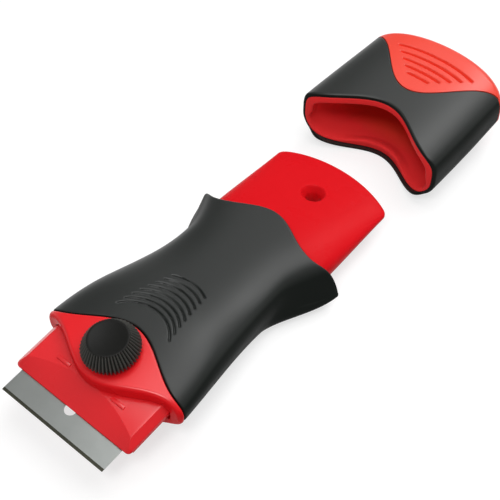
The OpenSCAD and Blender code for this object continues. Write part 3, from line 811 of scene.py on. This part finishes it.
# Blade: a plain rectangular steel blade, lapped flat, with one round hole and a cutting edge ground from
# both faces. It lies loose between the jaws until the screw is tightened.
ground_steel = bpy.data.node_groups.new("ground_steel", "ShaderNodeTree")
sockets(ground_steel, "INPUT", "Color", "Colour", "Dark colour")
sockets(ground_steel, "INPUT", "Float", "Roughness", "Depth")
sockets(ground_steel, "INPUT", "Vector", "Stretch")
sockets(ground_steel, "OUTPUT", "Color", "Colour")
sockets(ground_steel, "OUTPUT", "Float", "Roughness")
sockets(ground_steel, "OUTPUT", "Vector", "Normal")
steel_in = ground_steel.nodes.new("NodeGroupInput")
steel_place = add_node(ground_steel, "ShaderNodeTexCoord").outputs["Object"]
steel_way = add_node(ground_steel, "ShaderNodeVectorMath", {0: steel_place, 1: steel_in.outputs["Stretch"]},
                     operation="MULTIPLY")
steel_lines = add_node(ground_steel, "ShaderNodeTexNoise",
                       {"Vector": steel_way.outputs[0], "Scale": 1.0, "Detail": 4.0, "Roughness": 0.7})
steel_stain = add_node(ground_steel, "ShaderNodeTexNoise",
                       {"Vector": steel_place, "Scale": 160.0, "Detail": 4.0, "Roughness": 0.6})
steel_colour = mixed(ground_steel, steel_stain.outputs[0], steel_in.outputs["Colour"],
                     steel_in.outputs["Dark colour"])
line_roughness = 0.12
steel_rough = calc(ground_steel, "MULTIPLY_ADD", steel_lines.outputs[0], line_roughness,
                   steel_in.outputs["Roughness"])
steel_bump = add_node(ground_steel, "ShaderNodeBump",
                      {"Strength": steel_in.outputs["Depth"], "Distance": 0.01 * MM,
                       "Height": steel_lines.outputs[0]})
add_node(ground_steel, "NodeGroupOutput",
         {"Colour": steel_colour, "Roughness": steel_rough, "Normal": steel_bump.outputs["Normal"]})


def steel(name, colour, dark, roughness, stretch, depth):
    """A steel finish with grinding lines: stretch is how closely they lie along X, Y and Z."""
    finish = bpy.data.materials.new(name)
    finish.use_nodes = True
    tree = finish.node_tree
    ground = add_node(tree, "ShaderNodeGroup",
                      {"Colour": colour, "Dark colour": dark, "Roughness": roughness, "Stretch": stretch,
                       "Depth": depth}, node_tree=ground_steel)
    shader = tree.nodes["Principled BSDF"]
    shader.inputs["Metallic"].default_value = 1.0
    tree.links.new(ground.outputs["Colour"], shader.inputs["Base Color"])
    tree.links.new(ground.outputs["Roughness"], shader.inputs["Roughness"])
    tree.links.new(ground.outputs["Normal"], shader.inputs["Normal"])
    finish.diffuse_color = colour
    return finish


blade_steel = steel("blade_steel", paint(190, 194, 191), dark=paint(174, 178, 175), roughness=0.26,
                    stretch=(300.0, 6000.0, 300.0), depth=0.25)
# The ground bevel has its own rougher finish, and its dark colour is painted shade for the darker reflection
# that the bevel shows.
blade_bevel = steel("blade_bevel", paint(92, 92, 80), dark=paint(70, 70, 62), roughness=0.38,
                    stretch=(300.0, 9000.0, 300.0), depth=0.5)

blade_d = 19.0
grind = 0.9
edge_t = 0.04
blade_hole_r = 1.9
blade_show = 7.6
blade_edge_u = jaw_front_u - blade_show
blade_back_u = blade_edge_u + blade_d
ground_u = blade_edge_u + grind
across_v = nose @ Matrix(((1, 0, 0, 0), (0, 0, -1, 0), (0, 1, 0, blade_under_w), (0, 0, 0, 1)))
blade = prism("blade_steel", [(blade_edge_u, (blade_t - edge_t) / 2), (blade_edge_u, (blade_t + edge_t) / 2),
                              (ground_u, blade_t), (blade_back_u, blade_t), (blade_back_u, 0.0),
                              (ground_u, 0.0)],
              -blade_l / 2, blade_l / 2, across_v)
carve(blade, prism("blade_hole", circle(blade_hole_r), blade_under_w - cut_over, blade_under_w + cut_over,
                   nose @ Matrix.Translation((jaw_front_u, 0.0, 0.0))))
dress(blade, blade_steel, "blade", "blade_steel", "blade")
blade.data.materials.append(blade_bevel)
bevel_slack = 0.05
ground_line = (nose @ Vector((ground_u, 0.0, blade_under_w))).x + bevel_slack
for face in blade.data.polygons:
    if max(blade.data.vertices[i].co.x for i in face.vertices) < ground_line * MM:
        face.material_index = 1


# Clamp nut: a plain hexagon nut of zinc-plated steel. It lies in a pocket in the lower jaw's hub, which
# keeps it from turning while the screw is tightened.
fastener_steel = steel("fastener_steel", paint(196, 196, 190), dark=paint(168, 168, 162), roughness=0.26,
                       stretch=(900.0, 900.0, 900.0), depth=0.2)
clamp_nut = rounded_copy("clamp_nut", "clamp_nut_steel", width=0.2)
dress(clamp_nut, fastener_steel, "lower_jaw", "fastener_steel", "clamp_nut")


# Thumb screw: a steel screw whose head is moulded into a black knob, with a plain washer under the knob.
# The knob is a low cone with straight flutes down to its base and a shallow dish on top.
knob_colour = paint(20, 20, 18)
knob_black = moulded("knob_black", knob_colour, worn_and_highlit=knob_colour, wear=0.0, roughness=0.4, marks=0.06,
                     grain=0.3, depth=0.4, gloss=0.15, polish=0.1)
# The crests of the knob's flutes are painted a lighter grey: a painted highlight along the ribs.
rib_highlight_share = add_node(knob_black.node_tree, "ShaderNodeAttribute", attribute_name="ridge").outputs["Fac"]
tint(knob_black, rib_highlight_share, knob_colour, paint(84, 84, 80))

knob_r = 8.5
knob_top_r = 6.1
knob_skirt_h = 1.6
knob_h = 5.6
knob_flutes = 48
knob_core_r = 0.8
knob_dish_r = 5.5
knob_dish_d = 0.5
head_r = 4.5
head_h = 2.2
washer_room = 1.1
knob_w = bond_gap + washer_room
flute_d = 0.85
flute_curve = 0.8
flute_steps = 12


def steps_between(start, stop, steps):
    """Steps from one (radius, height, flute) corner of a profile towards the next."""
    return [tuple(np.array(start) + (np.array(stop) - np.array(start)) * s / steps) for s in range(steps)]


knob_corners = [(knob_core_r, head_h, 0), (head_r, head_h, 0), (head_r, 0, 0), (knob_r - 1.2, 0, 0),
                (knob_r - 0.3, 0, 1), (knob_r, 0.3, 1), (knob_r, knob_skirt_h, 1),
                (knob_top_r + 0.25, knob_h - 0.45, 1), (knob_top_r, knob_h - 0.16, 0.55),
                (knob_top_r - 0.2, knob_h - 0.03, 0.1), (knob_dish_r, knob_h, 0)]
corner_steps = (2, 2, 3, 3, 3, 6, 20, 4, 3, 2)
knob_profile = []
for corner, following, steps in zip(knob_corners, knob_corners[1:], corner_steps):
    knob_profile += steps_between(corner, following, steps)
knob_profile += [(r, knob_h - knob_dish_d * (1 - (r / knob_dish_r) ** 2), 0)
                 for r in np.linspace(knob_dish_r, knob_core_r, 14)]
knob_turns = knob_flutes * flute_steps
knob_angles = 2 * np.pi * np.arange(knob_turns) / knob_turns
knob_ways = list(zip(np.cos(knob_angles), np.sin(knob_angles)))
knob_points = [(r * c, r * s, h) for r, h, f in knob_profile for c, s in knob_ways]
knob_top = len(knob_points) - knob_turns
knob_points += [(0.0, 0.0, head_h), (0.0, 0.0, knob_h - knob_dish_d)]
knob_faces = []
for j in range(knob_turns):
    knob_faces.append((j, (j + 1) % knob_turns, len(knob_points) - 2))
    knob_faces.append((knob_top + j, knob_top + (j + 1) % knob_turns, len(knob_points) - 1))
for i in range(len(knob_profile) - 1):
    here, there = i * knob_turns, (i + 1) * knob_turns
    knob_faces += [(here + j, here + (j + 1) % knob_turns, there + (j + 1) % knob_turns, there + j)
                   for j in range(knob_turns)]
knob = new_piece("knob_black", knob_points, knob_faces)
fluted = knob.data.attributes.new("fluted", "FLOAT", "POINT")
knob_depths = np.append(np.repeat([f for r, h, f in knob_profile], knob_turns), [0.0, 0.0])
fluted.data.foreach_set("value", knob_depths.astype(np.float32))
# The ridge attribute marks the flute crests, where the painted highlight goes.
ridge = knob.data.attributes.new("ridge", "FLOAT", "POINT")
knob_waves = np.append(np.tile((1 + np.cos(knob_flutes * knob_angles)) / 2, len(knob_profile)), [0.0, 0.0])
ridge.data.foreach_set("value", (knob_depths * knob_waves).astype(np.float32))

knob_ribs = bpy.data.node_groups.new("knob_ribs", "GeometryNodeTree")
sockets(knob_ribs, "INPUT", "Geometry", "Geometry")
sockets(knob_ribs, "INPUT", "Float", "Flutes", "Depth", "Base radius")
sockets(knob_ribs, "INPUT", "Material", "Material")
sockets(knob_ribs, "OUTPUT", "Geometry", "Geometry")
rib_in = knob_ribs.nodes.new("NodeGroupInput")
rib_place = add_node(knob_ribs, "ShaderNodeSeparateXYZ",
                     {0: add_node(knob_ribs, "GeometryNodeInputPosition").outputs[0]})
rib_angle = calc(knob_ribs, "ARCTAN2", rib_place.outputs["Y"], rib_place.outputs["X"])
rib_wave = calc(knob_ribs, "COSINE", calc(knob_ribs, "MULTIPLY", rib_angle, rib_in.outputs["Flutes"]))
rib_fall = calc(knob_ribs, "MULTIPLY", calc(knob_ribs, "SUBTRACT", 1.0, rib_wave), 0.5)
rib_valley = calc(knob_ribs, "POWER", rib_fall, flute_curve)
rib_mask = add_node(knob_ribs, "GeometryNodeInputNamedAttribute", {"Name": "fluted"}, data_type="FLOAT")
rib_cut = calc(knob_ribs, "MULTIPLY", calc(knob_ribs, "MULTIPLY", rib_valley, rib_mask.outputs[0]),
               calc(knob_ribs, "DIVIDE", rib_in.outputs["Depth"], rib_in.outputs["Base radius"]))
rib_keep = calc(knob_ribs, "SUBTRACT", 1.0, rib_cut)
rib_moved = add_node(knob_ribs, "ShaderNodeCombineXYZ",
                     {"X": calc(knob_ribs, "MULTIPLY", rib_place.outputs["X"], rib_keep),
                      "Y": calc(knob_ribs, "MULTIPLY", rib_place.outputs["Y"], rib_keep),
                      "Z": rib_place.outputs["Z"]})
rib_set = add_node(knob_ribs, "GeometryNodeSetPosition",
                   {"Geometry": rib_in.outputs["Geometry"], "Position": rib_moved.outputs[0]})
rib_real = add_node(knob_ribs, "GeometryNodeRealizeInstances", {"Geometry": rib_set.outputs[0]})
rib_painted = add_node(knob_ribs, "GeometryNodeSetMaterial",
                       {"Geometry": rib_real.outputs[0], "Material": rib_in.outputs["Material"]})
add_node(knob_ribs, "NodeGroupOutput", {"Geometry": rib_painted.outputs[0]})
grow(knob, knob_ribs, flutes=float(knob_flutes), depth=flute_d * MM, base_radius=knob_r * MM,
     material=knob_black)
knob_seat = nose @ Matrix.Translation((0.0, 0.0, knob_w))
knob.data.transform(Matrix.Scale(MM, 4) @ knob_seat @ Matrix.Scale(1 / MM, 4))
shade(knob.data, degrees=60)
dress(knob, knob_black, "thumb_screw", "knob_black", "knob")

clamp_screw = rounded_copy("clamp_screw", "clamp_screw_steel", width=0.15)
dress(clamp_screw, fastener_steel, "thumb_screw", "fastener_steel", "clamp_screw")
knob_washer = rounded_copy("knob_washer", "knob_washer_steel", width=0.15)
dress(knob_washer, fastener_steel, "thumb_screw", "fastener_steel", "knob_washer")


# Cap shell: a red box moulding that slips over the tail. It is thin under its soft skin and full in the
# window at its end, where five arc grooves give the fingers a hold. The rim inside its mouth is thickened,
# but not on the lower flanks, where the tail passes close to it.
# The mouth end of the shell is painted a lighter red, as painted light inside the mouth, and the window end a
# more orange red, as painted sheen. The same share along X brings the polish in over the window.
mouth_painted_light_colour = paint(250, 58, 60)
window_painted_sheen_colour = paint(236, 66, 48)
cap_red = moulded("cap_red", paint(236, 54, 40), worn_and_highlit=paint(246, 86, 74), wear=0.2, roughness=0.32,
                  marks=0.05, grain=0.35, depth=0.1, gloss=0.02, polish=1.0)
window_share = polish_along(cap_red, start=90.0, stop=98.0, first=0.0, last=1.0)
tint(cap_red, window_share, mouth_painted_light_colour, window_painted_sheen_colour)

cap_wall = 1.8
cap_skin_t = 1.2
cap_room = 2.0
cap_w = tail_w + 2 * (cap_room + cap_wall + cap_skin_t)
cap_taper = 2.0
cap_h = 23.7
notch_d = 11.0
cap_gap = 1.0
cap_slide = 49.0
mouth_x = grip_rear_x - valley_d + horn_d + cap_gap + cap_slide
cap_top_l = 38.0
cap_end_x = mouth_x + notch_d + cap_top_l
cap_mid_z = 12.5
cap_belly = 0.4
cap_lift_x = mouth_x + 22.0
cap_lift = 5.0
cap_square = 4.2
cap_r = 50.0
cap_end_wall = 3.0
cap_lip_r = 3.0
rim_r = 0.35
rim_in_r = 0.8
rim_bead_full = 0.9
rim_bead_l = 4.5
bead_low = 0.6
bead_rise = 0.4
bead_half_w = 15.0
bead_fade = 8.0
notch_half = cap_w / 2 - 2.5
window_half = cap_w / 2 - 0.5
window_side = 9.0
window_reach = 19.2


def cap_form(x, t, inset=0.0, n_low=2.3):
    """Points on the outside of the cap."""
    half_w = eased([(mouth_x, cap_w / 2), (cap_end_x, (cap_w - cap_taper) / 2)], x)
    bottom = eased([(cap_lift_x, -cap_belly), (cap_end_x, cap_lift)], x)
    y, z = section(half_w - inset, cap_mid_z, cap_h - inset, bottom + inset, cap_square, n_low, t)
    return np.stack([x, y, z], axis=1)


def hollow_form(x, t, inset=0.0):
    """Points on the inside of the cap."""
    return cap_form(x, t, cap_skin_t + cap_wall + inset, n_low=2.8)


def mouth(y):
    return mouth_x + notch_d * bell(y, notch_half)


def cap_end(y):
    return cap_end_x - cap_r + np.sqrt(cap_r ** 2 - y ** 2)


def window(y):
    return cap_end_x - window_side - window_reach * bell(y, window_half)


cap_t = around(cap_form, mouth_x + 30.0, count=400, middle=16.0, closer=2.0)
under_skin = cap_skin_t + bond_gap
rim_y = np.abs(hollow_form(np.full_like(cap_t, mouth_x), cap_t)[:, 1])
rim_room = np.maximum(ease(np.sin(cap_t) / bead_rise + bead_low), ease((bead_half_w - rim_y) / bead_fade))
rim_bead = rim_bead_full * rim_room
cap_rings = rings_between(hollow_form, moved(mouth, rim_bead_l), moved(cap_end, -cap_end_wall),
                          np.linspace(1, 0, 26), cap_t)
for s in np.linspace(0, 1, 10)[1:]:
    bead_edge = moved(mouth, rim_bead_l + (rim_in_r - rim_bead_l) * s)
    cap_rings.append(meet(shrunk(hollow_form, rim_bead * ease(s)), bead_edge, cap_t))
cap_rings += [meet(shrunk(hollow_form, rim_bead - inset), moved(mouth, rim_in_r - out), cap_t)
              for inset, out in quarter_round(rim_in_r, 8)[1:]]
shell_form = shrunk(cap_form, under_skin)
cap_rings += rounded_end(shell_form, mouth, rim_r, cap_t, steps=4, way=-1)[::-1]
cap_rings += rings_between(shell_form, moved(mouth, rim_r), window, np.linspace(0, 1, 12), cap_t)
cap_rings += rings_between(cap_form, window, moved(cap_end, -cap_lip_r), np.linspace(0, 1, 100), cap_t)
cap_rings += rounded_end(cap_form, cap_end, cap_lip_r, cap_t, steps=12)
lay_flat(cap_rings)
cap_shell = loft("cap_shell_red", cap_rings)
grow(cap_shell, arc_grooves, count=5, first_end=(cap_end_x - 11.1) * MM, step=-2.6 * MM,
     first_half_length=14.6 * MM, last_half_length=3.8 * MM, arc_radius=cap_r * MM, half_width=0.75 * MM,
     depth=1.1 * MM, above=22.6 * MM, material=cap_red)
shade(cap_shell.data, degrees=40)
dress(cap_shell, cap_red, "cap", "cap_red", "cap_shell")


# Cap skin: the same soft black plastic as the grip, moulded round the mouth end of the shell. It ends level
# with the rim on top and stands out a little under the mouth.
skin_back = 0.1
skin_gap = 0.15
skin_r = 0.9
chin_out = 1.4
chin_top = 6.0
chin_fade = 3.0
chin_l = 4.0
skin_from = moved(mouth, skin_back)
skin_to = moved(window, -skin_gap)
skin_rings = rounded_end(cap_form, skin_from, skin_r, cap_t, steps=6, way=-1)[::-1]
skin_rings += rings_between(cap_form, moved(skin_from, skin_r), moved(skin_to, -edge_r),
                            np.linspace(0, 1, 70), cap_t)
skin_rings += rounded_end(cap_form, skin_to, edge_r, cap_t, steps=3)
skin_rings += rings_between(shrunk(cap_form, cap_skin_t), skin_from, skin_to, np.linspace(1, 0, 9), cap_t)
lay_flat(skin_rings)
for ring in skin_rings:
    near_mouth = ease((mouth(ring[:, 1]) + chin_l - ring[:, 0]) / chin_l)
    ring[:, 0] -= chin_out * ease((chin_top - ring[:, 2]) / chin_fade) * near_mouth
cap_skin = loft("cap_skin_soft", skin_rings, looped=True)
shade(cap_skin.data, degrees=50)
dress(cap_skin, grip_soft, "cap", "cap_soft", "cap_skin")
